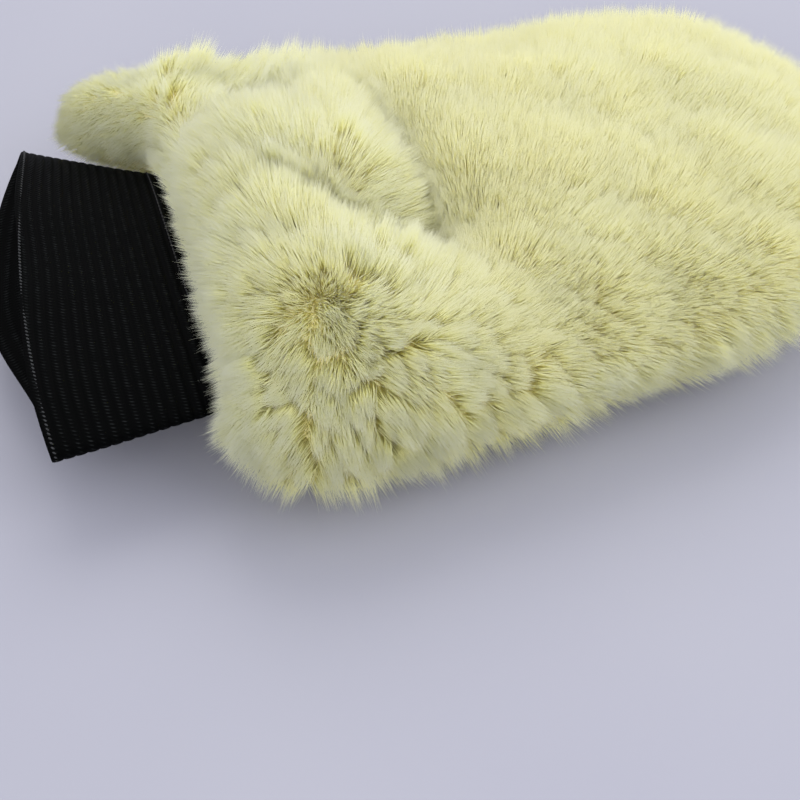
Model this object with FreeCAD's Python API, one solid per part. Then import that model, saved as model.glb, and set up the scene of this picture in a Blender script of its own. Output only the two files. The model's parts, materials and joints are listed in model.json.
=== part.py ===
import FreeCAD, Part
import math
import os

# Plush wash mitt: two long-pile panels sewn round a lining bag, with a woven elastic cuff.
# X runs from the cuff's mouth to the finger end, Y across the hand, and Z up.
# The origin is under the middle of the whole mitt, on the surface that it lies on.
# Every length is in millimetres and every angle in degrees.

os.makedirs("parts", exist_ok=True)
Vector = FreeCAD.Vector

# Body, measured over the tips of the pile.
overall_length = 296.0
body_width = 176.0
wrist_end_width = 184.0
wrist_corner_radius = 36.0
finger_tip_width = 14.0
body_rounding = 26.0

# Plush, from the tips of the pile to the inside of its knitted backing.
back_plush_thickness = 20.0
palm_plush_thickness = 17.0
side_plush_thickness = 19.0

# Lining bag and the pocket for the hand.
pocket_height = 25.0
pocket_rounding = 10.0
lining_thickness = 1.0
lining_clearance = 0.2
seam_gap = 6.0

# Elastic cuff, a flattened tube that gapes towards its mouth, where it can also hang lower.
band_width = 57.0
pile_overlap = 9.0
band_thickness = 1.6
mouth_half_width = 62.0
mouth_half_height = 13.0
wrist_half_width = 52.0
wrist_half_height = 8.0
cuff_droop = 0.0

# Stitching.
thread_height = 0.5
stitch_row_width = 0.9
stitch_rows = (2.5, 5.5)
closing_rows = (18.0, 24.0)
closing_end_margin = 3.0
allowance_width = 3.5
allowance_thickness = 2.0
lining_seam_width = 1.5
lining_seam_thickness = 1.4
seam_end_clearance = 1.5

# How far the cuff turns at the wrist seam, and the room that it needs there.
flex_up = 30.0
flex_down = 25.0
flex_clearance = 2.0
neck_setback = 4.0

body_thickness = palm_plush_thickness + pocket_height + back_plush_thickness
middle_z = palm_plush_thickness + pocket_height / 2
mouth_x = -overall_length / 2
finger_x = overall_length / 2
body_end_x = mouth_x + band_width - pile_overlap
seam_x = body_end_x + pile_overlap
lining_inset = side_plush_thickness + seam_gap
neck_end_x = body_end_x + lining_inset + pocket_rounding
finger_corner_radius = (body_width - finger_tip_width) / 2

wrist_corner = Vector(body_end_x + wrist_corner_radius, wrist_end_width / 2 - wrist_corner_radius)
finger_corner = Vector(finger_x - finger_corner_radius, body_width / 2 - finger_corner_radius)


def save(shape, node):
    """Write one node's solids."""
    if not shape.isValid():
        raise ValueError(node + " is not a valid shape")
    shape.exportStep("parts/" + node + ".step")


def around(centre, radius, degrees):
    """The point of a circle at an angle from +X."""
    angle = math.radians(degrees)
    return centre + Vector(radius * math.cos(angle), radius * math.sin(angle))


def mirrored(point):
    """The same point on the mitt's other side."""
    return Vector(point.x, -point.y, point.z)


def outline(inset):
    """Plan outline of the body: the band round two wrist corners and two finger corners."""
    wrist_r = wrist_corner_radius - inset
    finger_r = finger_corner_radius - inset
    along = finger_corner - wrist_corner
    heading = math.degrees(math.atan2(along.y, along.x))
    lean = math.degrees(math.acos((wrist_r - finger_r) / along.Length))
    side = heading + lean
    wrist_arc = [around(wrist_corner, wrist_r, a) for a in (180, (180 + side) / 2, side)]
    finger_arc = [around(finger_corner, finger_r, a) for a in (side, side / 2, 0)]
    far_edges = [
        Part.Arc(*wrist_arc).toShape(),
        Part.LineSegment(wrist_arc[2], finger_arc[0]).toShape(),
        Part.Arc(*finger_arc).toShape(),
    ]
    near_edges = [
        Part.Arc(*[mirrored(p) for p in reversed(finger_arc)]).toShape(),
        Part.LineSegment(mirrored(finger_arc[0]), mirrored(wrist_arc[2])).toShape(),
        Part.Arc(*[mirrored(p) for p in reversed(wrist_arc)]).toShape(),
    ]
    finger_tip = Part.LineSegment(finger_arc[2], mirrored(finger_arc[2])).toShape()
    wrist_end = Part.LineSegment(mirrored(wrist_arc[0]), wrist_arc[0]).toShape()
    return Part.Wire(far_edges + [finger_tip] + near_edges + [wrist_end])


def slab(inset, low, high):
    """The outline made a block between two heights."""
    block = Part.Face(outline(inset)).extrude(Vector(0, 0, high - low))
    block.translate(Vector(0, 0, low))
    return block


def pillow(inset, low, high, rounding):
    """A slab with its top and bottom edges rounded, as far as its corners and a seam's flat edge allow."""
    block = slab(inset, low, high)
    radius = min(rounding, 0.9 * (wrist_corner_radius - inset), (high - low - allowance_thickness) / 2)
    rims = [e for e in block.Edges if abs(e.BoundBox.ZLength) < 1e-6]
    return block.makeFillet(radius, rims)


def flat_ring(x, centre_z, half_width, half_height):
    """A flattened tube's section: two straight runs and two half rounds, square to X."""
    reach = half_width - half_height

    def at(y, z):
        return Vector(x, y, centre_z + z)

    return Part.Wire([
        Part.LineSegment(at(-reach, half_height), at(reach, half_height)).toShape(),
        Part.Arc(at(reach, half_height), at(half_width, 0), at(reach, -half_height)).toShape(),
        Part.LineSegment(at(reach, -half_height), at(-reach, -half_height)).toShape(),
        Part.Arc(at(-reach, -half_height), at(-half_width, 0), at(-reach, half_height)).toShape(),
    ])


def tube_block(start, end):
    """A solid between two flat rings, each given as x, centre height, half width and half height."""
    return Part.makeLoft([flat_ring(*start), flat_ring(*end)], True, True)


def cuff_block(growth, start_x=mouth_x, end_x=seam_x):
    """The cuff's solid form, grown all round, between two places along it."""

    def section(x):
        share = (x - mouth_x) / (seam_x - mouth_x)
        half_width = mouth_half_width + share * (wrist_half_width - mouth_half_width)
        half_height = mouth_half_height + share * (wrist_half_height - mouth_half_height)
        return x, middle_z - cuff_droop * (1 - share), half_width + growth, half_height + growth

    return tube_block(section(start_x), section(end_x))


def box(low, high):
    """A block between two corners."""
    size = [b - a for a, b in zip(low, high)]
    return Part.makeBox(*size, Vector(*low))


def above(height):
    """Everything above a height, large enough to cut the mitt with."""
    return box((-overall_length, -body_width, height), (overall_length, body_width, 2 * body_thickness))


def below(height):
    """Everything below a height, large enough to cut the mitt with."""
    return box((-overall_length, -body_width, -body_thickness), (overall_length, body_width, height))


def swept_half_height(slope_rise, turn, outward):
    """Half height that the turned cuff reaches at a distance outward from the wrist seam."""
    slope = math.atan2(slope_rise, band_width)
    angle = slope + math.radians(turn)
    offset = (wrist_half_height + thread_height) * math.cos(slope)
    return offset / math.cos(angle) + outward * math.tan(angle)


def flex_half_height(outward):
    """Half height of the opening that lets the cuff turn both ways."""
    widening = mouth_half_height - wrist_half_height
    up = swept_half_height(widening - cuff_droop, flex_up, outward)
    down = swept_half_height(widening + cuff_droop, flex_down, outward)
    return max(up, down) + flex_clearance


# Opening in the plush for the wrist: a straight neck, then a funnel that lets the cuff turn.
neck_half_height = flex_half_height(0)
neck_half_width = wrist_half_width + thread_height + flex_clearance
funnel_outward = pile_overlap + 1
funnel_half_width = neck_half_width + funnel_outward * (mouth_half_width - wrist_half_width) / band_width
neck_hole = tube_block(
    (seam_x, middle_z, neck_half_width, neck_half_height),
    (neck_end_x + lining_clearance, middle_z, neck_half_width, neck_half_height),
)
funnel_hole = tube_block(
    (seam_x - funnel_outward, middle_z, funnel_half_width + flex_clearance, flex_half_height(funnel_outward)),
    (seam_x, middle_z, neck_half_width, neck_half_height),
)


def plush_shell():
    """Both plush panels in one, with the hollow for the lining bag and the wrist opening."""
    outside = pillow(0, 0, body_thickness, body_rounding)
    hollow = pillow(
        side_plush_thickness,
        palm_plush_thickness,
        palm_plush_thickness + pocket_height,
        pocket_rounding,
    )
    return outside.cut(hollow).cut(neck_hole).cut(funnel_hole)


def lining_solid(depth):
    """The lining bag's solid form with its neck, at a depth in from its outer face."""
    bag = pillow(
        lining_inset + depth,
        palm_plush_thickness + lining_clearance + depth,
        palm_plush_thickness + pocket_height - lining_clearance - depth,
        pocket_rounding - depth,
    )
    half_width = neck_half_width - lining_clearance - depth
    half_height = neck_half_height - lining_clearance - depth
    start_x = seam_x + neck_setback - depth
    end_x = neck_end_x - depth
    neck = tube_block((start_x, middle_z, half_width, half_height), (end_x, middle_z, half_width, half_height))
    return bag.fuse(neck)


def edge_strip(inset, width, thickness):
    """A sewn edge that runs round the body at mid height, open across the wrist neck."""
    low = middle_z - thickness / 2
    high = middle_z + thickness / 2
    ring = slab(inset, low, high).cut(slab(inset + width, low, high))
    reach = neck_half_width + seam_end_clearance
    gap = box((body_end_x, -reach, low - 1), (body_end_x + lining_inset + width + seam_gap, reach, high + 1))
    return ring.cut(gap)


def make_plush_panels():
    """Back and palm panels, which meet along the seam at mid height."""
    shell = plush_shell()
    save(shell.common(above(middle_z)), "back_plush_panel")
    save(shell.common(below(middle_z)), "palm_plush_panel")


def make_linings():
    """Back and palm halves of the lining bag."""
    bag = lining_solid(0).cut(lining_solid(lining_thickness))
    save(bag.common(above(middle_z)), "back_lining")
    save(bag.common(below(middle_z)), "palm_lining")


def make_edge_seams():
    """Overlocked edge of the plush, turned inwards, and the stitched edge of the lining."""
    save(edge_strip(side_plush_thickness, allowance_width, allowance_thickness), "shell_edge_seam")
    lining_seam_inset = lining_inset - lining_seam_width
    save(edge_strip(lining_seam_inset, lining_seam_width, lining_seam_thickness), "lining_edge_seam")


def make_cuff():
    """Woven elastic band, joined end to end into a flattened tube."""
    hollow = cuff_block(-band_thickness, mouth_x - 1, seam_x + 1)
    save(cuff_block(0).cut(hollow), "elastic_cuff")


def make_cuff_stitching():
    """Two rows round the wrist seam, and two rows that close the band under the cuff."""
    band = cuff_block(0)
    wrist_rows = []
    for distance in stitch_rows:
        start_x = seam_x - distance - stitch_row_width
        wrist_rows.append(cuff_block(thread_height, start_x, seam_x - distance).cut(band))
    save(Part.makeCompound(wrist_rows), "wrist_seam_stitching")

    closing = []
    start_x = mouth_x + closing_end_margin
    end_x = seam_x - max(stitch_rows) - stitch_row_width - closing_end_margin
    proud = cuff_block(thread_height, start_x, end_x).cut(band)
    for y in closing_rows:
        strip = box((mouth_x, y, 0), (seam_x, y + stitch_row_width, middle_z - cuff_droop))
        closing.append(proud.common(strip))
    save(Part.makeCompound(closing), "cuff_closing_seam")


make_plush_panels()
make_linings()
make_edge_seams()
make_cuff()
make_cuff_stitching()
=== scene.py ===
import json
import math

import bmesh
import bpy
import numpy as np
from mathutils import Matrix, Vector, kdtree


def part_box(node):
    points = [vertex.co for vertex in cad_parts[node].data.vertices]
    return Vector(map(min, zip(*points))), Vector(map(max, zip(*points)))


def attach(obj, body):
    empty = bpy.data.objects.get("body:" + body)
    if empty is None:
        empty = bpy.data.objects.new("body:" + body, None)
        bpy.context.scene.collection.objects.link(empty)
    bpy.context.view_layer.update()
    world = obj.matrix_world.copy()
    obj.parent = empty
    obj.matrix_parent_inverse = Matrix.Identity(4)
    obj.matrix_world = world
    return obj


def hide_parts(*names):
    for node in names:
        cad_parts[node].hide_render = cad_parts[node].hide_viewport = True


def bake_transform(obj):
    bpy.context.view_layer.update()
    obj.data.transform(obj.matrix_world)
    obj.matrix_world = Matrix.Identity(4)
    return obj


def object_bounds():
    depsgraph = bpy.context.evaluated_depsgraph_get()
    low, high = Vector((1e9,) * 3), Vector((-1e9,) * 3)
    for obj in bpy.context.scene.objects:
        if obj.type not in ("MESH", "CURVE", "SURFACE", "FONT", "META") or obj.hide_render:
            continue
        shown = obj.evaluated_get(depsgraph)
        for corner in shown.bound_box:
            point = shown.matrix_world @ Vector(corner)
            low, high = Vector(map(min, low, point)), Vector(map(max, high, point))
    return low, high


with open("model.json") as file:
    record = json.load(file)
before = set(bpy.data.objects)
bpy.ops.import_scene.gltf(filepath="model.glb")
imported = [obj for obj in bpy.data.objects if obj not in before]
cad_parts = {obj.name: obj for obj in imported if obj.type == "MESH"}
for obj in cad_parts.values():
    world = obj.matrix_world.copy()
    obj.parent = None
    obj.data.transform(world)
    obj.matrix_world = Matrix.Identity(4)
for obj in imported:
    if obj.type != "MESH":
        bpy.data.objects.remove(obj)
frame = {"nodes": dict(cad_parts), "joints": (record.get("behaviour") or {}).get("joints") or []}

# Looks of a plush wash mitt: a knitted backing that carries long pile, a ribbed elastic cuff and a lining bag.
# X runs from the cuff's mouth to the finger end, Y across the hand, Z up. Lengths are in metres.

mm = 0.001
rng = np.random.default_rng(7)

cad_low, cad_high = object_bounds()
cuff_low, cuff_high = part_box("elastic_cuff")
wrist_joint = Vector(frame["joints"][0]["pos_m"])

wrist_x = wrist_joint.x
middle_z = wrist_joint.z
mouth_x = cuff_low.x
finger_x = cad_high.x

# Pile.
pile_length = 17 * mm
back_strands = 340000
palm_strands = 66000
triangles_in_a_piece = 195000
strand_radius = 0.12 * mm
strand_start = 0.35
underfur_height = 4.8 * mm
lock_spacing = 3.4 * mm
tuft_spacing = 11 * mm

# Cuff.
mouth_half_width = 66 * mm
mouth_half_height = 13.5 * mm
mouth_shift = 12 * mm
mouth_foremost_y = -40 * mm
mouth_curve = 1.23
lower_lip_lead = 15 * mm
wrist_half_width = 52 * mm
wrist_half_height = 8 * mm
band_thickness = 1.5 * mm
rib_count = 16
rib_height = 0.3 * mm
rib_steps = 8
weave_pitch = 1.0 * mm


# ---------------------------------------------------------------- small helpers

def smooth_step(value, low, high):
    """0 below low, 1 above high, and a smooth rise between."""
    t = np.clip((value - low) / (high - low), 0, 1)
    return t * t * (3 - 2 * t)


def unit(vectors):
    """Vectors scaled to a length of one."""
    return vectors / np.maximum(np.linalg.norm(vectors, axis=-1, keepdims=True), 1e-12)


def waves(points, size, seed, count=7):
    """Smooth random value from about -1 to 1 at each point, with hills about as wide as size."""
    local = np.random.default_rng(seed)
    directions = unit(local.normal(size=(count, 3)))
    lengths = size * local.uniform(1.2, 2.8, count)
    phases = local.uniform(0, 2 * math.pi, count)
    total = np.sin(points @ (directions / lengths[:, None] * 2 * math.pi).T + phases).sum(axis=1)
    return total / math.sqrt(count / 2) * 0.6


def along_table(table, share):
    """Smooth curve through a table's evenly spaced rows, at shares from 0 to 1."""
    rows = np.array(table, float)
    place = np.clip(np.asarray(share, float), 0, 1) * (len(rows) - 1)
    i = np.minimum(place.astype(int), len(rows) - 2)
    t = (place - i)[:, None]
    before, here = rows[np.maximum(i - 1, 0)], rows[i]
    there, after = rows[i + 1], rows[np.minimum(i + 2, len(rows) - 1)]
    slope_here, slope_there = (there - before) / 2, (after - here) / 2
    return (
        (2 * t**3 - 3 * t**2 + 1) * here + (t**3 - 2 * t**2 + t) * slope_here
        + (3 * t**2 - 2 * t**3) * there + (t**3 - t**2) * slope_there
    )


def coordinates(mesh):
    """A mesh's vertex places as rows of numbers."""
    values = np.zeros(len(mesh.vertices) * 3, np.float32)
    mesh.vertices.foreach_get("co", values)
    return values.reshape(-1, 3).astype(float)


def move_to(mesh, points):
    """Puts a mesh's vertices at new places."""
    mesh.vertices.foreach_set("co", np.asarray(points, np.float32).ravel())
    mesh.update()


def object_from(bm, name, material):
    """Finishes a bmesh as a smooth-shaded object."""
    mesh = bpy.data.meshes.new(name)
    bm.to_mesh(mesh)
    bm.free()
    mesh.shade_smooth()
    piece = bpy.data.objects.new(name, mesh)
    piece.data.materials.append(material)
    bpy.context.scene.collection.objects.link(piece)
    return piece


# ---------------------------------------------------------------- materials

def new_material(name, roughness, **plain):
    """A material with one Principled BSDF, and plain values on its other sockets."""
    material = bpy.data.materials.new(name)
    material.use_nodes = True
    shader = material.node_tree.nodes["Principled BSDF"]
    shader.inputs["Roughness"].default_value = roughness
    for socket, value in plain.items():
        shader.inputs[socket.replace("_", " ")].default_value = value
    return material, material.node_tree, shader


def math_node(tree, operation, *values):
    """A Math node with its inputs linked or set, and its output."""
    node = tree.nodes.new("ShaderNodeMath")
    node.operation = operation
    for socket, value in zip(node.inputs, values):
        if isinstance(value, bpy.types.NodeSocket):
            tree.links.new(value, socket)
        else:
            socket.default_value = value
    return node.outputs[0]


def ramp_node(tree, factor, stops):
    """A Color Ramp over a factor, with its colours given as (place, colour)."""
    node = tree.nodes.new("ShaderNodeValToRGB")
    elements = node.color_ramp.elements
    while len(elements) < len(stops):
        elements.new(0.5)
    for element, (place, colour) in zip(elements, stops):
        element.position = place
        element.color = (*colour, 1)
    tree.links.new(factor, node.inputs["Fac"])
    return node.outputs["Color"]


def mix_node(tree, blend_type, factor, first, second):
    """A colour Mix node with its inputs linked or set, and its output."""
    node = tree.nodes.new("ShaderNodeMix")
    node.data_type = "RGBA"
    node.blend_type = blend_type
    for index, value in ((0, factor), (6, first), (7, second)):
        if isinstance(value, bpy.types.NodeSocket):
            tree.links.new(value, node.inputs[index])
        else:
            node.inputs[index].default_value = value if index == 0 else (*value, 1)
    return node.outputs[2]


def pile_material():
    """Long pile: cream at the tip and gold toward the root, warmer or cooler by strand; the gold toward the root is
    painted shade of the pile's depths.
    """
    material, tree, shader = new_material("pile", 0.6)
    shader.inputs["Specular IOR Level"].default_value = 0.25
    strand = tree.nodes.new("ShaderNodeUVMap")
    strand.uv_map = "OFBake"
    split = tree.nodes.new("ShaderNodeSeparateXYZ")
    tree.links.new(strand.outputs["UV"], split.inputs[0])
    # Painted shade: the deeper gold at low U (the root end) stands in for the saturated shade down between the
    # strands.
    cool = ramp_node(tree, split.outputs["X"], [
        (0.0, (0.93, 0.89, 0.38)), (0.3, (0.96, 0.95, 0.56)), (0.7, (0.975, 0.98, 0.75)), (1.0, (0.985, 0.99, 0.87)),
    ])
    warm = ramp_node(tree, split.outputs["X"], [
        (0.0, (0.93, 0.86, 0.38)), (0.3, (0.96, 0.93, 0.52)), (0.7, (0.98, 0.965, 0.64)), (1.0, (0.985, 0.975, 0.72)),
    ])
    colour = mix_node(tree, "MIX", split.outputs["Y"], cool, warm)
    tree.links.new(colour, shader.inputs["Base Color"])
    glow = tree.nodes.new("ShaderNodeBsdfTranslucent")
    tree.links.new(colour, glow.inputs["Color"])
    both = tree.nodes.new("ShaderNodeMixShader")
    both.inputs["Fac"].default_value = 0.5
    tree.links.new(shader.outputs["BSDF"], both.inputs[1])
    tree.links.new(glow.outputs["BSDF"], both.inputs[2])
    tree.links.new(both.outputs["Shader"], tree.nodes["Material Output"].inputs["Surface"])
    return material


def underfur_material():
    """Dense short fur under the long pile: fine mottle of pale gold with a soft nap; its deep gold is painted shade of
    the recesses between the locks.
    """
    material, tree, shader = new_material("underfur", 0.8, Sheen_Weight=0.3, Sheen_Roughness=0.5)
    shader.inputs["Specular IOR Level"].default_value = 0.15
    place = tree.nodes.new("ShaderNodeTexCoord").outputs["Object"]
    nap = tree.nodes.new("ShaderNodeTexNoise")
    nap.inputs["Scale"].default_value = 900
    nap.inputs["Detail"].default_value = 4
    tree.links.new(place, nap.inputs["Vector"])
    # Painted shade: this gold stands in for the shade seen in the gaps between the locks.
    colour = ramp_node(tree, nap.outputs["Fac"], [(0.35, (0.84, 0.75, 0.32)), (0.65, (0.90, 0.84, 0.46))])
    tree.links.new(colour, shader.inputs["Base Color"])
    bump = tree.nodes.new("ShaderNodeBump")
    bump.inputs["Distance"].default_value = 0.8 * mm
    tree.links.new(nap.outputs["Fac"], bump.inputs["Height"])
    tree.links.new(bump.outputs["Normal"], shader.inputs["Normal"])
    return material


def backing_material():
    """Knitted backing that the pile grows from: fine rows of loops, golden."""
    material, tree, shader = new_material("knitted_backing", 0.85)
    place = tree.nodes.new("ShaderNodeTexCoord").outputs["Object"]
    knit = tree.nodes.new("ShaderNodeTexWave")
    knit.inputs["Scale"].default_value = 260
    knit.inputs["Distortion"].default_value = 2.5
    tree.links.new(place, knit.inputs["Vector"])
    colour = ramp_node(tree, knit.outputs["Fac"], [(0.0, (0.74, 0.68, 0.36)), (1.0, (0.84, 0.80, 0.50))])
    tree.links.new(colour, shader.inputs["Base Color"])
    bump = tree.nodes.new("ShaderNodeBump")
    bump.inputs["Distance"].default_value = 0.3 * mm
    tree.links.new(knit.outputs["Fac"], bump.inputs["Height"])
    tree.links.new(bump.outputs["Normal"], shader.inputs["Normal"])
    return material


def elastic_material():
    """Woven black elastic: each rib a column of slanted picks, with the raised picks painted lighter in large patches
    as painted highlight.
    """
    material, tree, shader = new_material("woven_elastic", 0.6)
    shader.inputs["Specular IOR Level"].default_value = 0.02
    weave = tree.nodes.new("ShaderNodeUVMap")
    weave.uv_map = "weave"
    split = tree.nodes.new("ShaderNodeSeparateXYZ")
    tree.links.new(weave.outputs["UV"], split.inputs[0])
    around, along = split.outputs["X"], split.outputs["Y"]
    turn = 2 * math.pi
    slanted = math_node(tree, "SUBTRACT", around, math_node(tree, "MULTIPLY", along, 1.2))
    picks = math_node(tree, "MULTIPLY_ADD", math_node(tree, "SINE", math_node(tree, "MULTIPLY", slanted, turn)), 0.5, 0.5)
    rib = math_node(tree, "MULTIPLY_ADD", math_node(tree, "COSINE", math_node(tree, "MULTIPLY", along, turn)), -0.5, 0.5)
    raised = math_node(tree, "MULTIPLY", picks, rib)
    # Painted highlight: large soft patches where the raised picks turn lighter, standing in for the light's glints on
    # the weave.
    glint_patches = tree.nodes.new("ShaderNodeTexNoise")
    glint_patches.inputs["Scale"].default_value = 0.45
    glint_patches.inputs["Detail"].default_value = 6
    glint_patches.inputs["Roughness"].default_value = 0.75
    tree.links.new(weave.outputs["UV"], glint_patches.inputs["Vector"])
    # The lighter colour of raised picks inside the patches is painted highlight; the elastic's own colour is the black
    # of the grooves.
    thread = math_node(tree, "MULTIPLY", raised, glint_patches.outputs["Fac"])
    colour = ramp_node(tree, thread, [
        (0.0, (0.0006, 0.0007, 0.0007)), (0.35, (0.001, 0.0012, 0.0012)), (0.62, (0.013, 0.0145, 0.0145)),
    ])
    tree.links.new(colour, shader.inputs["Base Color"])
    bump = tree.nodes.new("ShaderNodeBump")
    bump.inputs["Distance"].default_value = 0.25 * mm
    bump.inputs["Strength"].default_value = 0.8
    tree.links.new(raised, bump.inputs["Height"])
    tree.links.new(bump.outputs["Normal"], shader.inputs["Normal"])
    return material


def thread_material(name, dark, light, roughness):
    """Spun thread: fine slanted strands, darker between them."""
    material, tree, shader = new_material(name, roughness, Sheen_Weight=0.03)
    place = tree.nodes.new("ShaderNodeTexCoord").outputs["Object"]
    plies = tree.nodes.new("ShaderNodeTexNoise")
    plies.inputs["Scale"].default_value = 1800
    plies.inputs["Detail"].default_value = 2
    tree.links.new(place, plies.inputs["Vector"])
    colour = ramp_node(tree, plies.outputs["Fac"], [(0.35, dark), (0.65, light)])
    tree.links.new(colour, shader.inputs["Base Color"])
    bump = tree.nodes.new("ShaderNodeBump")
    bump.inputs["Distance"].default_value = 0.15 * mm
    tree.links.new(plies.outputs["Fac"], bump.inputs["Height"])
    tree.links.new(bump.outputs["Normal"], shader.inputs["Normal"])
    return material


def lining_material():
    """Smooth pale knit with fine ribs along the hand."""
    material, tree, shader = new_material("lining_knit", 0.75, Sheen_Weight=0.1)
    place = tree.nodes.new("ShaderNodeTexCoord").outputs["Object"]
    knit = tree.nodes.new("ShaderNodeTexWave")
    knit.bands_direction = "Y"
    knit.inputs["Scale"].default_value = 400
    knit.inputs["Distortion"].default_value = 1.5
    tree.links.new(place, knit.inputs["Vector"])
    colour = ramp_node(tree, knit.outputs["Fac"], [(0.0, (0.55, 0.53, 0.40)), (1.0, (0.74, 0.72, 0.58))])
    tree.links.new(colour, shader.inputs["Base Color"])
    bump = tree.nodes.new("ShaderNodeBump")
    bump.inputs["Distance"].default_value = 0.2 * mm
    tree.links.new(knit.outputs["Fac"], bump.inputs["Height"])
    tree.links.new(bump.outputs["Normal"], shader.inputs["Normal"])
    return material


def floor_material():
    """Smooth pale tabletop with a very faint mottle."""
    material, tree, shader = new_material("tabletop", 0.45)
    shader.inputs["Specular IOR Level"].default_value = 0.2
    place = tree.nodes.new("ShaderNodeTexCoord").outputs["Object"]
    mottle = tree.nodes.new("ShaderNodeTexNoise")
    mottle.inputs["Scale"].default_value = 6
    tree.links.new(place, mottle.inputs["Vector"])
    colour = ramp_node(tree, mottle.outputs["Fac"], [(0.3, (0.305, 0.305, 0.355)), (0.7, (0.32, 0.32, 0.365))])
    tree.links.new(colour, shader.inputs["Base Color"])
    return material


# ---------------------------------------------------------------- body shape

# Backing's sections from the wrist seam to the finger end: distance from the wrist seam as a share of the
# length, then half width and half height.
backing_length = finger_x - pile_length - wrist_x
backing_sections = [
    (0.000, 52.8 * mm, 9.0 * mm),
    (0.010, 58.0 * mm, 12.5 * mm),
    (0.040, 67.0 * mm, 16.5 * mm),
    (0.105, 74.5 * mm, 18.5 * mm),
    (0.200, 76.5 * mm, 18.0 * mm),
    (0.310, 76.0 * mm, 16.8 * mm),
    (0.420, 75.0 * mm, 16.2 * mm),
    (0.530, 73.5 * mm, 16.0 * mm),
    (0.640, 71.5 * mm, 15.6 * mm),
    (0.745, 67.0 * mm, 15.0 * mm),
    (0.840, 59.0 * mm, 13.8 * mm),
    (0.920, 46.0 * mm, 11.5 * mm),
    (0.975, 28.0 * mm, 7.5 * mm),
    (1.000, 0.0 * mm, 0.0 * mm),
]

# Swells and hollows of the upper side: centre, reach along and across, heading, and rise.
swells = [
    ((-70 * mm, -46 * mm), (27 * mm, 24 * mm), 0, 7 * mm),
    ((-59 * mm, 16 * mm), (21 * mm, 22 * mm), -10, 8 * mm),
    ((-92 * mm, 74 * mm), (22 * mm, 18 * mm), 0, 13 * mm),
    ((-25 * mm, -20 * mm), (13 * mm, 9 * mm), -35, -14 * mm),
    ((-48 * mm, -6 * mm), (17 * mm, 5 * mm), -40, -10 * mm),
    ((-60 * mm, 50 * mm), (18 * mm, 7 * mm), 25, -13 * mm),
    ((-17 * mm, 12 * mm), (8 * mm, 26 * mm), 8, -10 * mm),
    ((40 * mm, 20 * mm), (50 * mm, 36 * mm), 0, 2 * mm),
]

# Bulges of the side edges: side of the mitt, place along it, reach along, and distance outwards.
edge_bulges = [
    (1, 32 * mm, 24 * mm, -5 * mm),
    (1, 120 * mm, 26 * mm, 4 * mm),
    (1, -88 * mm, 24 * mm, 7 * mm),
]

far_lobe_lead = 36 * mm
far_lobe_reach = 14 * mm
near_lobe_lead = 10 * mm


def far_share(y):
    """0 on the near side of the wrist and 1 on the far side."""
    return smooth_step(y, -55 * mm, 15 * mm)


def swelling(x, y):
    """Height that the swells and hollows add at a place."""
    total = np.zeros(len(x))
    for (centre_x, centre_y), (reach_along, reach_across), heading, rise in swells:
        turn = math.radians(heading)
        along = (x - centre_x) * math.cos(turn) + (y - centre_y) * math.sin(turn)
        across = (y - centre_y) * math.cos(turn) - (x - centre_x) * math.sin(turn)
        total += rise * np.exp(-((along / reach_along) ** 2 + (across / reach_across) ** 2) / 2)
    return total


def gathered(points, share):
    """Body shape after the elastic has gathered it: swells above, lobes beside the cuff, small pleats."""
    x, y, z = points.T.copy()
    free = smooth_step(share, 0.0, 0.22)
    above = smooth_step(z - middle_z, 0.0, 8 * mm)
    z += swelling(x, y) * free * above
    edge = smooth_step(np.abs(y), 48 * mm, 68 * mm)
    near_wrist = 1 - smooth_step(x, wrist_x + 8 * mm, wrist_x + 55 * mm)
    lead = np.where(y > 0, far_lobe_lead, near_lobe_lead)
    x -= lead * edge * near_wrist * smooth_step(share, 0.0, 0.1)
    y += np.where(y > 0, far_lobe_reach, 0) * edge * near_wrist * smooth_step(share, 0.0, 0.1)
    set_back = smooth_step(share, 0, 0.05) * (1 - smooth_step(x, wrist_x, wrist_x + 40 * mm))
    x += 4 * mm * far_share(y) * (1 - edge) * set_back
    for side, place, reach, distance in edge_bulges:
        y += side * distance * np.exp(-(((x - place) / reach) ** 2) / 2) * smooth_step(side * y, 20 * mm, 60 * mm)
    ripple = waves(points, 14 * mm, 21) * free
    z += ripple * 1.2 * mm * np.sign(z - middle_z)
    return np.stack([x, y, z], axis=1)


def body_form(inset, segments, rings, name, material):
    """Open-ended bag in the body's shape, drawn in by an inset: a sphere with one pole opened, then reshaped."""
    bm = bmesh.new()
    bmesh.ops.create_uvsphere(bm, u_segments=segments, v_segments=rings, radius=1)
    bmesh.ops.rotate(bm, verts=bm.verts, matrix=Matrix.Rotation(math.radians(90), 3, "Y"))
    wrist_pole = min(bm.verts, key=lambda v: v.co.x)
    bmesh.ops.delete(bm, geom=[wrist_pole], context="VERTS")
    piece = object_from(bm, name, material)
    on_sphere = coordinates(piece.data)
    polar = np.arccos(np.clip(on_sphere[:, 0], -1, 1)) / math.pi
    share = (polar.max() - polar) / polar.max()
    around = np.arctan2(on_sphere[:, 2], on_sphere[:, 1])
    at_pole = share > 1 - 1e-6
    sections = along_table(backing_sections, share)
    half_width = np.maximum(sections[:, 1] - inset, 0)
    half_height = np.maximum(sections[:, 2] - inset, 0)
    half_width[at_pole] = half_height[at_pole] = 0
    reach = finger_x - pile_length - inset
    x = wrist_x + 0.5 * mm + sections[:, 0] * (reach - wrist_x)
    cosine, sine = np.cos(around), np.sin(around)
    y = half_width * np.sign(cosine) * np.abs(cosine) ** 0.80
    z = middle_z + half_height * np.sign(sine) * np.abs(sine) ** 0.85
    move_to(piece.data, gathered(np.stack([x, y, z], axis=1), share))
    return piece


# ---------------------------------------------------------------- pile

near_whorl = np.array([-66 * mm, -55 * mm])
far_whorl = np.array([-98 * mm, 82 * mm])


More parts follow.
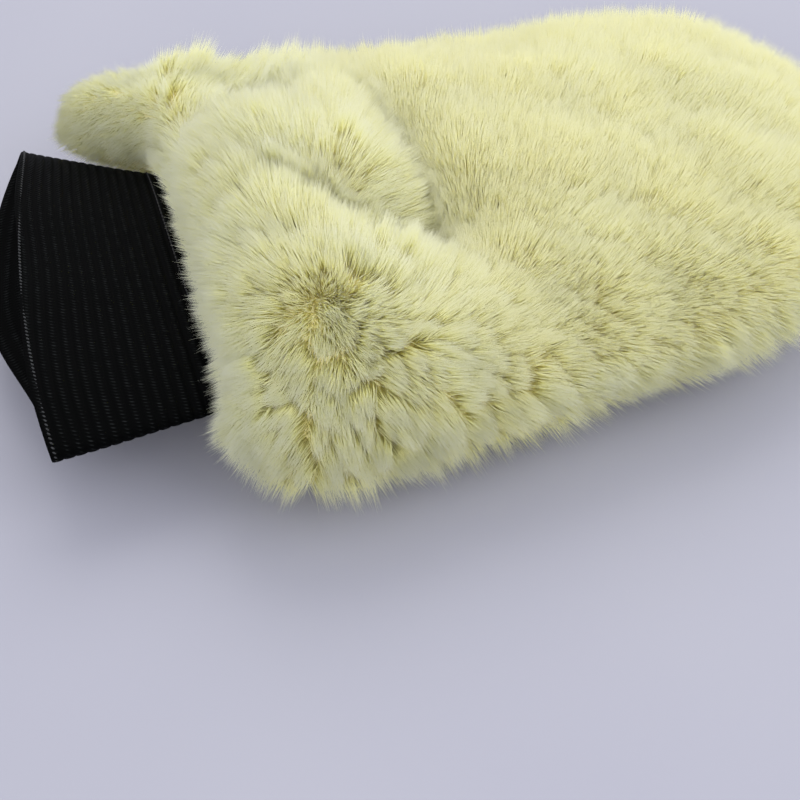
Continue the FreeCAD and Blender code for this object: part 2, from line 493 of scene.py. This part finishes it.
def strand_shape():
    """One strand: a three-sided spike, as heights, angles and faces."""
    bm = bmesh.new()
    bmesh.ops.create_cone(bm, cap_ends=True, segments=3, radius1=1, radius2=0, depth=1)
    bmesh.ops.translate(bm, verts=bm.verts, vec=(0, 0, 0.5))
    bmesh.ops.remove_doubles(bm, verts=bm.verts, dist=1e-4)
    bm.verts.index_update()
    heights = np.array([v.co.z for v in bm.verts])
    angles = np.array([math.atan2(v.co.y, v.co.x) for v in bm.verts])
    faces = [[v.index for v in face.verts] for face in bm.faces]
    bm.free()
    return heights, angles, faces


def scattered(skin, count, lower):
    """Random places on the skin's upper or lower half, with the skin's smooth normal at each."""
    mesh = skin.data
    mesh.calc_loop_triangles()
    corners = np.zeros(len(mesh.loop_triangles) * 3, np.int32)
    mesh.loop_triangles.foreach_get("vertices", corners)
    corners = corners.reshape(-1, 3)
    points = coordinates(mesh)
    normals = np.zeros(len(mesh.vertices) * 3, np.float32)
    mesh.vertex_normals.foreach_get("vector", normals)
    normals = normals.reshape(-1, 3)
    a, b, c = (points[corners[:, k]] for k in range(3))
    areas = np.linalg.norm(np.cross(b - a, c - a), axis=1)
    is_lower = (a + b + c)[:, 2] / 3 < middle_z
    weights = np.where(is_lower == lower, areas, 0)
    chosen = rng.choice(len(corners), count, p=weights / weights.sum())
    u, v = rng.random(count), rng.random(count)
    outside = u + v > 1
    u[outside], v[outside] = 1 - u[outside], 1 - v[outside]
    shares = np.stack([1 - u - v, u, v], axis=1)
    place = np.einsum("nk,nkj->nj", shares, points[corners[chosen]])
    normal = unit(np.einsum("nk,nkj->nj", shares, normals[corners[chosen]]))
    return place, normal


def whorl_push(points, centre, reach):
    """Pull away from a whorl's centre, none at the centre and none far off."""
    offset = points[:, :2] - centre
    distance = np.linalg.norm(offset, axis=1)
    strength = smooth_step(distance, 3 * mm, 42 * mm) * np.exp(-((distance / reach) ** 2))
    push = np.zeros_like(points)
    push[:, :2] = unit(offset) * strength[:, None]
    return push


def smooth_top(points, normals):
    """1 where the pile stands short and even on the upper side, and 0 beside and round the wrist."""
    return smooth_step(normals[:, 2], 0.5, 0.9) * smooth_step(points[:, 0], -45 * mm, -5 * mm)


def combed(points, normals):
    """Direction that the pile leans to at each place, and how far it leans."""
    x, y, z = points.T
    top = smooth_top(points, normals)
    toward_finger = smooth_step(x, -50 * mm, 20 * mm)
    by_wrist = 1 - smooth_step(x, wrist_x, wrist_x + 30 * mm)
    comb = np.zeros_like(points)
    comb[:, 0] = 0.7 * toward_finger * (1 - 0.8 * top)
    comb[:, 0] -= (0.35 - 0.15 * far_share(y)) * by_wrist
    over_seam = 1 - smooth_step(x, wrist_x + 2 * mm, wrist_x + 9 * mm)
    comb[:, 0] -= 0.8 * far_share(y) * over_seam
    comb[:, 1] = 0.25 * np.sign(y) * smooth_step(np.abs(y), 20 * mm, 60 * mm)
    comb += 0.7 * whorl_push(points, near_whorl, 60 * mm)
    comb += 0.7 * whorl_push(points, far_whorl, 40 * mm)
    comb[:, 2] -= 0.45 * smooth_step(np.abs(y), 40 * mm, 72 * mm)
    comb[:, 0] += 0.30 * waves(points, 30 * mm, 31) * (1 - 0.7 * top)
    comb[:, 1] += 0.30 * waves(points, 30 * mm, 32) * (1 - 0.7 * top)
    comb -= (comb * normals).sum(axis=1)[:, None] * normals
    size = np.linalg.norm(comb, axis=1)
    return unit(comb), np.clip(size, 0, 1) * (1 - 0.6 * top)


def clumping(points, normals):
    """How tightly the strands of a lock draw together: loose and velvety above, tight below the near whorl."""
    patchy = waves(points, 22 * mm, 41)
    near_side = smooth_step(-points[:, 1], 38 * mm, 66 * mm)
    fringe = 1 - smooth_step(points[:, 0], wrist_x, wrist_x + 18 * mm)
    base = np.maximum(0.08 + near_side * (0.18 + 0.27 * by_near_whorl(points)), 0.30 * fringe)
    return np.clip(base + 0.05 * patchy, 0.03, 0.6)


def by_near_whorl(points):
    """1 beside the near whorl and 0 far along the mitt from it."""
    return np.exp(-(((points[:, 0] - near_whorl[0]) / (60 * mm)) ** 2))


def nearest(points, centres):
    """Index of the nearest centre for each point."""
    tree = kdtree.KDTree(len(centres))
    for i, centre in enumerate(centres):
        tree.insert(centre, i)
    tree.balance()
    return np.array([tree.find(p)[1] for p in points])


def strand_lines(roots, normals):
    """Lower and upper ends of the strands, drawn together into locks and the locks into tufts."""
    count = len(roots)
    lock_count = round(half_skin_area / lock_spacing**2)
    locks = rng.choice(count, lock_count, replace=False)
    tufts = rng.choice(lock_count, max(8, int(lock_count * (lock_spacing / tuft_spacing) ** 2)), replace=False)
    lock_of = nearest(roots + rng.normal(scale=0.30 * lock_spacing, size=(count, 3)), roots[locks])
    tuft_of = nearest(roots[locks], roots[locks][tufts])

    top = smooth_top(roots, normals)
    comb, size = combed(roots, normals)
    from_whorl = np.linalg.norm(roots[:, :2] - near_whorl, axis=1)
    ruffled = np.exp(-((from_whorl / (16 * mm)) ** 2))
    lean = np.radians(10 + 36 * size + 16 * ruffled + 6 * waves(roots, 9 * mm, 51) * (1 - 0.7 * top))
    stray = unit(rng.normal(size=(lock_count, 3)))
    lock_comb = unit(comb[locks] + 0.28 * stray)
    own_comb = unit(comb + 0.25 * rng.normal(size=(count, 3)))
    heading = unit(0.75 * lock_comb[lock_of] + 0.25 * own_comb)
    root_way = unit(normals * np.cos(0.45 * lean)[:, None] + heading * np.sin(0.45 * lean)[:, None])
    tip_way = unit(normals * np.cos(1.45 * lean)[:, None] + heading * np.sin(1.45 * lean)[:, None])

    from_seam = smooth_step(roots[:, 0], wrist_x, wrist_x + 18 * mm)
    at_seam = 0.60 - 0.25 * far_share(roots[:, 1])
    at_sides = smooth_step(np.abs(roots[:, 1]), 40 * mm, 70 * mm)
    reach = (at_seam + (1 - at_seam) * from_seam) * (1 + 0.04 * (1 - top) * at_sides - 0.12 * top)
    lock_length = pile_length * (1 + 0.08 * rng.normal(size=lock_count) * (1 - 0.8 * top[locks]))
    spread = np.linalg.norm(roots - roots[locks][lock_of], axis=1) / lock_spacing
    length = reach * lock_length[lock_of] * (1.04 - 0.14 * np.clip(spread, 0, 1) ** 2)
    length *= rng.uniform(0.80, 1.07, count) * (1 + 0.35 * (1 - from_seam) * rng.random(count) ** 3)
    start = strand_start * smooth_step(roots[:, 0], wrist_x + 2 * mm, wrist_x + 10 * mm)
    t = np.stack([start, np.ones(count)], axis=1)[:, :, None]
    lines = roots[:, None] + length[:, None, None] * (t * root_way[:, None] + 0.5 * t**2 * (tip_way - root_way)[:, None])
    guide = lines[locks]
    tight = clumping(roots, normals)
    pull = tight[locks] * (0.30 + 0.45 * by_near_whorl(roots[locks]))
    guide = guide + pull[:, None, None] * t[locks] ** 2 * (guide[tufts][tuft_of] - guide)
    lines += tight[:, None, None] * t**1.7 * (guide[lock_of] - lines)
    lines += rng.normal(scale=0.7 * mm, size=(count, 1, 3)) * t**2
    return lines, lock_of, lock_count


def pile_piece(name, lines, warmth, shape):
    """One object made of many strands, each the strand shape set between a lower and an upper end."""
    heights, angles, faces = shape
    count = len(lines)
    rise = unit(lines[:, 1] - lines[:, 0])
    side = unit(np.cross(rise, rng.normal(size=(count, 3))))
    other = np.cross(rise, side)
    end_of = heights.round().astype(int)
    taper = strand_radius * (1 - end_of)
    size = rng.uniform(0.8, 1.15, count)[:, None, None]
    ring = side[:, None] * np.cos(angles)[None, :, None] + other[:, None] * np.sin(angles)[None, :, None]
    points = lines[:, end_of] + size * taper[None, :, None] * ring
    points[..., 1] = np.minimum(points[..., 1], cad_high.y + 14 * mm)
    points[..., 2] = np.clip(points[..., 2], 0.3 * mm, cad_high.z + 11 * mm)

    mesh = bpy.data.meshes.new(name)
    per_strand = len(heights)
    corner_pattern = np.concatenate([np.array(f) for f in faces])
    starts_pattern = np.cumsum([0] + [len(f) for f in faces[:-1]])
    mesh.vertices.add(count * per_strand)
    mesh.vertices.foreach_set("co", points.astype(np.float32).ravel())
    corners = (corner_pattern[None] + per_strand * np.arange(count)[:, None]).ravel()
    mesh.loops.add(len(corners))
    mesh.loops.foreach_set("vertex_index", corners.astype(np.int32))
    mesh.polygons.add(count * len(faces))
    starts = (starts_pattern[None] + len(corner_pattern) * np.arange(count)[:, None]).ravel()
    mesh.polygons.foreach_set("loop_start", starts.astype(np.int32))
    mesh.update(calc_edges=True)
    uv = mesh.uv_layers.new(name="OFBake")
    across = 0.004 * (np.cos(angles) + 1) / 2
    map_u = np.tile(heights[corner_pattern] * 0.98 + 0.01, count)
    map_v = (warmth[:, None] * 0.99 + across[corner_pattern][None]).ravel()
    uv.data.foreach_set("uv", np.stack([map_u, map_v], axis=1).astype(np.float32).ravel())
    mesh.shade_smooth()
    piece = bpy.data.objects.new(name, mesh)
    piece.data.materials.append(materials["pile"])
    bpy.context.scene.collection.objects.link(piece)
    return piece


def make_pile(skin):
    """All the pile, in pieces by side and by place along the mitt."""
    shape = strand_shape()
    for side, count, lower in (("back", back_strands, False), ("palm", palm_strands, True)):
        roots, normals = scattered(skin, count, lower)
        lines, lock_of, lock_count = strand_lines(roots, normals)
        top = smooth_top(roots, normals)
        lock_tone = rng.normal(scale=0.09, size=lock_count)[lock_of] * (1 - 0.6 * top)
        tone = 0.25 + 0.50 * top + 0.10 * waves(roots, 25 * mm, 61) + lock_tone + rng.normal(scale=0.05, size=count)
        tone -= 0.22 * (1 - smooth_step(roots[:, 0], wrist_x + 2 * mm, wrist_x + 24 * mm))
        tone = np.clip(tone, 0, 1)
        at_wrist = lines[:, :, 0].min(axis=1) < wrist_x + 6 * mm
        for group, chosen in (("wrist_pile", at_wrist), ("pile", ~at_wrist)):
            members = np.flatnonzero(chosen)
            members = members[np.argsort(roots[members, 0], kind="stable")]
            each = sum(len(face) - 2 for face in shape[2])
            parts = np.array_split(members, math.ceil(len(members) * each / triangles_in_a_piece))
            for number, part in enumerate(parts, 1):
                piece = pile_piece(f"{side}_{group}_{number}", lines[part], tone[part], shape)
                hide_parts(f"{side}_plush_panel")
                if group == "wrist_pile":
                    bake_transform(piece)
                else:
                    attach(piece, "mitt")


# ---------------------------------------------------------------- cuff

def cuff_section(x, around):
    """Points of the flattened cuff's middle surface and its outward direction, at places along and around it."""
    share = (x - mouth_x) / (wrist_x - mouth_x)
    half_width = mouth_half_width + share * (wrist_half_width - mouth_half_width) - band_thickness / 2
    half_height = mouth_half_height + share * (wrist_half_height - mouth_half_height) - band_thickness / 2
    centre_z = (cuff_low.z + cuff_high.z) / 2 + share * (middle_z - (cuff_low.z + cuff_high.z) / 2)
    open_share = 1 - share
    centre_y = mouth_shift * open_share
    cosine, sine = np.cos(around), np.sin(around)
    sag = 1 + 0.05 * np.sin(2 * around + 0.6) * open_share
    y = centre_y + half_width * np.sign(cosine) * np.abs(cosine) ** 0.9
    z = centre_z + half_height * sine * sag
    outward = unit(np.stack([np.zeros_like(y), cosine * half_height, sine * half_width], axis=1))
    lip = mouth_curve * (y - mouth_foremost_y) ** 2 + 0.7 * mm
    lip -= lower_lip_lead * (0.5 - 0.5 * sine) ** 1.5 * smooth_step(y, -35 * mm, 25 * mm)
    return np.stack([x + open_share * lip, y, z], axis=1), outward


def make_cuff():
    """Ribbed elastic band: the section of the band spun into a ring, then flattened into the cuff's shape."""
    length = wrist_x - mouth_x
    count = rib_count * rib_steps
    bm = bmesh.new()
    outer = []
    for i in range(count + 1):
        x = mouth_x + length * i / count
        rib = abs(math.sin(math.pi * rib_count * i / count)) ** 0.6
        outer.append((x, band_thickness / 2 - rib_height + rib_height * rib))
    inner_count = rib_count * 3
    inner = []
    for i in range(inner_count + 1):
        x = wrist_x - length * i / inner_count
        rib = abs(math.sin(math.pi * rib_count * i / inner_count)) ** 0.6
        inner.append((x, -band_thickness / 2 + rib_height * (1 - rib)))
    profile = [bm.verts.new((x, 1 + offset, 0)) for x, offset in outer + inner]
    edges = [bm.edges.new((a, b)) for a, b in zip(profile, profile[1:] + profile[:1])]
    steps = 300
    bmesh.ops.spin(
        bm, geom=profile + edges, cent=(0, 0, 0), axis=(1, 0, 0), angle=2 * math.pi, steps=steps, use_merge=True,
    )
    bmesh.ops.remove_doubles(bm, verts=bm.verts, dist=1e-6)
    bmesh.ops.recalc_face_normals(bm, faces=bm.faces)
    cuff = object_from(bm, "elastic_band", materials["elastic"])
    ring = coordinates(cuff.data)
    around = np.arctan2(ring[:, 2], ring[:, 1])
    offset = np.hypot(ring[:, 1], ring[:, 2]) - 1
    middle, outward = cuff_section(ring[:, 0], around)
    place = middle + outward * offset[:, None]
    place[:, 2] += 0.5 * mm * waves(middle, 22 * mm, 71) * smooth_step(-middle[:, 0], -wrist_x, -mouth_x)
    edge_wave = waves(middle, 30 * mm, 72) * smooth_step(-middle[:, 0], -wrist_x, -mouth_x)
    place[:, 0] += 0.8 * mm * edge_wave
    move_to(cuff.data, place)
    weave_map(cuff.data, ring, around)
    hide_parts("elastic_cuff")
    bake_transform(cuff)
    return cuff


def weave_map(mesh, ring, around):
    """UV map of the weave: picks counted around the cuff, and ribs counted along it."""
    turns = np.linspace(0, 2 * math.pi, 721)
    middle, _ = cuff_section(np.full(len(turns), (mouth_x + wrist_x) / 2), turns)
    travelled = np.concatenate([[0], np.cumsum(np.linalg.norm(np.diff(middle, axis=0), axis=1))])
    whole = round(travelled[-1] / weave_pitch)
    loops = np.zeros(len(mesh.loops), np.int32)
    mesh.loops.foreach_get("vertex_index", loops)
    angle = np.mod(around[loops], 2 * math.pi)
    starts = np.zeros(len(mesh.polygons), np.int32)
    mesh.polygons.foreach_get("loop_start", starts)
    sizes = np.diff(np.append(starts, len(loops)))
    first = np.repeat(angle[starts], sizes)
    angle = np.where(angle - first > math.pi, angle - 2 * math.pi, angle)
    angle = np.where(angle - first < -math.pi, angle + 2 * math.pi, angle)
    u = np.interp(angle, np.append(turns, 2 * math.pi + 0.1), np.append(travelled, travelled[-1] + 0.1 * 60 * mm))
    u = np.where(angle < 0, angle * 60 * mm, u)
    uv = mesh.uv_layers.new(name="weave")
    v = (ring[loops, 0] - mouth_x) / (wrist_x - mouth_x) * rib_count
    values = np.stack([u / travelled[-1] * whole, v], axis=1)
    uv.data.foreach_set("uv", values.astype(np.float32).ravel())


def stitch_run(name, starts, ends, outward, thickness, material):
    """Row of single stitches: short rounded threads between pairs of needle holes."""
    bm = bmesh.new()
    bmesh.ops.create_icosphere(bm, subdivisions=1, radius=0.5)
    base = np.array([v.co for v in bm.verts])
    faces = [[v.index for v in f.verts] for f in bm.faces]
    bm.free()
    along = ends - starts
    lengths = np.linalg.norm(along, axis=1)
    along = unit(along)
    side = unit(np.cross(outward, along))
    up = np.cross(along, side)
    centre = (starts + ends) / 2
    points = (
        centre[:, None]
        + along[:, None] * (base[None, :, :1] * (lengths[:, None, None] + thickness))
        + side[:, None] * (base[None, :, 1:2] * thickness)
        + up[:, None] * (base[None, :, 2:3] * thickness)
    )
    bm = bmesh.new()
    for stitch in points:
        verts = [bm.verts.new(p) for p in stitch]
        for face in faces:
            bm.faces.new([verts[i] for i in face])
    return object_from(bm, name, material)


def ring_of_stitches(x, count, lift, share, slant=0.0):
    """Starts, ends and outward directions of stitches around the cuff at one place along it."""
    turns = even_turns(x, count + 1)[:-1]
    step = np.diff(even_turns(x, count + 1))
    start, outward = cuff_section(np.full(count, x), turns)
    end, _ = cuff_section(np.full(count, x + slant), turns + step * share)
    return start + outward * lift, end + outward * lift, outward


def even_turns(x, count):
    """Angles that divide the cuff's girth evenly."""
    turns = np.linspace(0, 2 * math.pi, 1441)
    middle, _ = cuff_section(np.full(len(turns), x), turns)
    travelled = np.concatenate([[0], np.cumsum(np.linalg.norm(np.diff(middle, axis=0), axis=1))])
    return np.interp(np.linspace(0, travelled[-1], count), travelled, turns)


def make_stitching():
    """Beaded selvedge, two rows at the wrist seam and two rows that close the band underneath."""
    surface = band_thickness / 2
    selvedge = stitch_run(
        "cuff_selvedge", *ring_of_stitches(mouth_x + 1.3 * mm, 210, surface - 0.1 * mm, 0.4, 0.5 * mm),
        0.6 * mm, materials["elastic_thread"],
    )
    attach(selvedge, "cuff")
    rows = [ring_of_stitches(wrist_x - d, 120, surface + 0.1 * mm, 0.7) for d in (2.9 * mm, 5.9 * mm)]
    wrist_rows = stitch_run(
        "wrist_stitches", *[np.concatenate(parts) for parts in zip(*rows)], 0.55 * mm, materials["black_thread"],
    )
    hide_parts("wrist_seam_stitching")
    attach(wrist_rows, "cuff")
    closing_low, closing_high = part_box("cuff_closing_seam")
    starts, ends, outs = [], [], []
    for y in (closing_low.y + 0.45 * mm, closing_high.y - 0.45 * mm):
        x = np.arange(closing_low.x, closing_high.x - 2.4 * mm, 3.1 * mm)
        for here, there in ((x, x + 2.3 * mm),):
            a, out = underside(here, y)
            b, _ = underside(there, y)
            starts.append(a)
            ends.append(b)
            outs.append(out)
    closing = stitch_run(
        "cuff_closing_stitches", np.concatenate(starts), np.concatenate(ends), np.concatenate(outs),
        0.55 * mm, materials["black_thread"],
    )
    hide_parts("cuff_closing_seam")
    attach(closing, "cuff")


def underside(x, y):
    """Places on the cuff's underside at a distance across it."""
    turns = np.linspace(math.pi, 2 * math.pi, 721)
    places, outs = [], []
    for one in x:
        middle, outward = cuff_section(np.full(len(turns), one), turns)
        nearest_turn = int(np.argmin(np.abs(middle[:, 1] - y)))
        places.append(middle[nearest_turn] + outward[nearest_turn] * (band_thickness / 2 + 0.1 * mm))
        outs.append(outward[nearest_turn])
    return np.array(places), np.array(outs)


# ---------------------------------------------------------------- skin and lining

def make_backing():
    """Knitted backing of both plush panels."""
    skin = body_form(0, 120, 90, "plush_backing", materials["backing"])
    bm = bmesh.new()
    bm.from_mesh(skin.data)
    bmesh.ops.recalc_face_normals(bm, faces=bm.faces)
    bm.to_mesh(skin.data)
    bm.free()
    return skin


def make_underfur(skin):
    """Dense short fur between the long strands: the backing's form grown outwards, less beside the cuff."""
    underfur = skin.copy()
    underfur.data = skin.data.copy()
    underfur.name = "underfur"
    bpy.context.scene.collection.objects.link(underfur)
    underfur.data.materials.clear()
    underfur.data.materials.append(materials["underfur"])
    points = coordinates(skin.data)
    normals = np.zeros(len(skin.data.vertices) * 3, np.float32)
    skin.data.vertex_normals.foreach_get("vector", normals)
    growth = underfur_height * (0.12 + 0.88 * smooth_step(points[:, 0], wrist_x, wrist_x + 18 * mm))
    points += normals.reshape(-1, 3) * growth[:, None]
    points[:, 2] = np.maximum(points[:, 2], 2.5 * mm)
    move_to(underfur.data, points)
    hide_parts("back_plush_panel", "palm_plush_panel")
    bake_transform(underfur)


def finish_backing(skin):
    """Gives the backing its thickness, inwards."""
    thickness = skin.modifiers.new("thickness", "SOLIDIFY")
    thickness.thickness = 1.2 * mm
    thickness.offset = -1
    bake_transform(skin)


def make_lining():
    """Both halves of the lining bag, thin and slightly wrinkled, inside the backing."""
    for name, node, keep_above in (("lining_back_half", "back_lining", True), ("lining_palm_half", "palm_lining", False)):
        half = body_form(3.5 * mm, 96, 70, name, materials["lining"])
        bm = bmesh.new()
        bm.from_mesh(half.data)
        geometry = list(bm.verts) + list(bm.edges) + list(bm.faces)
        bmesh.ops.bisect_plane(
            bm, geom=geometry, plane_co=(0, 0, middle_z), plane_no=(0, 0, 1),
            clear_inner=keep_above, clear_outer=not keep_above,
        )
        bmesh.ops.recalc_face_normals(bm, faces=bm.faces)
        bm.to_mesh(half.data)
        bm.free()
        half.data.shade_smooth()
        points = coordinates(half.data)
        points[:, 2] += 0.5 * mm * waves(points, 12 * mm, 81) * smooth_step(np.abs(points[:, 2] - middle_z), 0, 6 * mm)
        move_to(half.data, points)
        thickness = half.modifiers.new("thickness", "SOLIDIFY")
        thickness.thickness = 0.5 * mm
        thickness.offset = 0
        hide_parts(node)
        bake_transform(half)


# ---------------------------------------------------------------- surroundings

def make_floor():
    """Pale tabletop, much wider than the view."""
    bm = bmesh.new()
    bmesh.ops.create_grid(bm, x_segments=2, y_segments=2, size=4)
    floor = object_from(bm, "tabletop", floor_material())


def add_area_light(name, place, size, energy, colour):
    """Square soft light that faces the mitt's middle."""
    light = bpy.data.lights.new(name, "AREA")
    light.size = size
    light.energy = energy
    light.color = colour
    lamp = bpy.data.objects.new(name, light)
    lamp.location = place
    lamp.rotation_euler = (Vector((0, 0, middle_z)) - Vector(place)).to_track_quat("-Z", "Y").to_euler()
    bpy.context.scene.collection.objects.link(lamp)


def make_light():
    """Pale surroundings, a large soft light from above and behind, and a weak one from the front."""
    world = bpy.data.worlds.new("pale_room")
    world.use_nodes = True
    background = world.node_tree.nodes["Background"]
    background.inputs["Color"].default_value = (0.92, 0.93, 1.0, 1)
    background.inputs["Strength"].default_value = 1.16
    bpy.context.scene.world = world
    add_area_light("key", (0.25, 0.75, 1.05), 0.9, 7, (1.0, 0.98, 0.95))
    add_area_light("front_left", (-0.7, -0.8, 0.8), 1.0, 5, (0.97, 0.98, 1.0))
    add_area_light("front_right", (0.75, -0.55, 1.0), 1.0, 7, (0.97, 0.98, 1.0))
    scene = bpy.context.scene
    scene.view_settings.view_transform = "Standard"
    scene.cycles.max_bounces = 24
    scene.cycles.diffuse_bounces = 20


def make_camera():
    """Camera above and before the mitt's near side, close to the cuff."""
    azimuth, elevation, roll = (math.radians(a) for a in (-21.3, 51.8, 2.1))
    camera_data = bpy.data.cameras.new("camera")
    camera_data.lens = 54.9
    camera_data.clip_start = 0.01
    camera = bpy.data.objects.new("camera", camera_data)
    back = Vector((
        math.sin(azimuth) * math.cos(elevation), -math.cos(azimuth) * math.cos(elevation), math.sin(elevation),
    ))
    camera.rotation_mode = "QUATERNION"
    camera.rotation_quaternion = (-back).to_track_quat("-Z", "Y") @ Matrix.Rotation(roll, 4, "Z").to_quaternion()
    camera.location = Vector((mouth_x + 20.6 * mm, -271.9 * mm, 311.6 * mm))
    bpy.context.scene.collection.objects.link(camera)
    bpy.context.scene.camera = camera


# ---------------------------------------------------------------- the whole mitt

materials = {
    "pile": pile_material(),
    "backing": backing_material(),
    "underfur": underfur_material(),
    "elastic": elastic_material(),
    "lining": lining_material(),
    "black_thread": thread_material("black_thread", (0.002, 0.002, 0.002), (0.008, 0.008, 0.009), 0.7),
    "elastic_thread": thread_material("elastic_thread", (0.003, 0.0035, 0.004), (0.016, 0.018, 0.019), 0.7),
    "pale_thread": thread_material("pale_thread", (0.62, 0.58, 0.40), (0.85, 0.83, 0.70), 0.7),
}

make_camera()
make_light()
make_floor()

skin = make_backing()
half_skin_area = sum(face.area for face in skin.data.polygons) / 2
make_pile(skin)
make_underfur(skin)
finish_backing(skin)
make_lining()
make_cuff()
make_stitching()

for node in ("shell_edge_seam", "lining_edge_seam"):
    seam = frame["nodes"][node]
    seam.data.materials.clear()
    seam.data.materials.append(materials["pale_thread"])
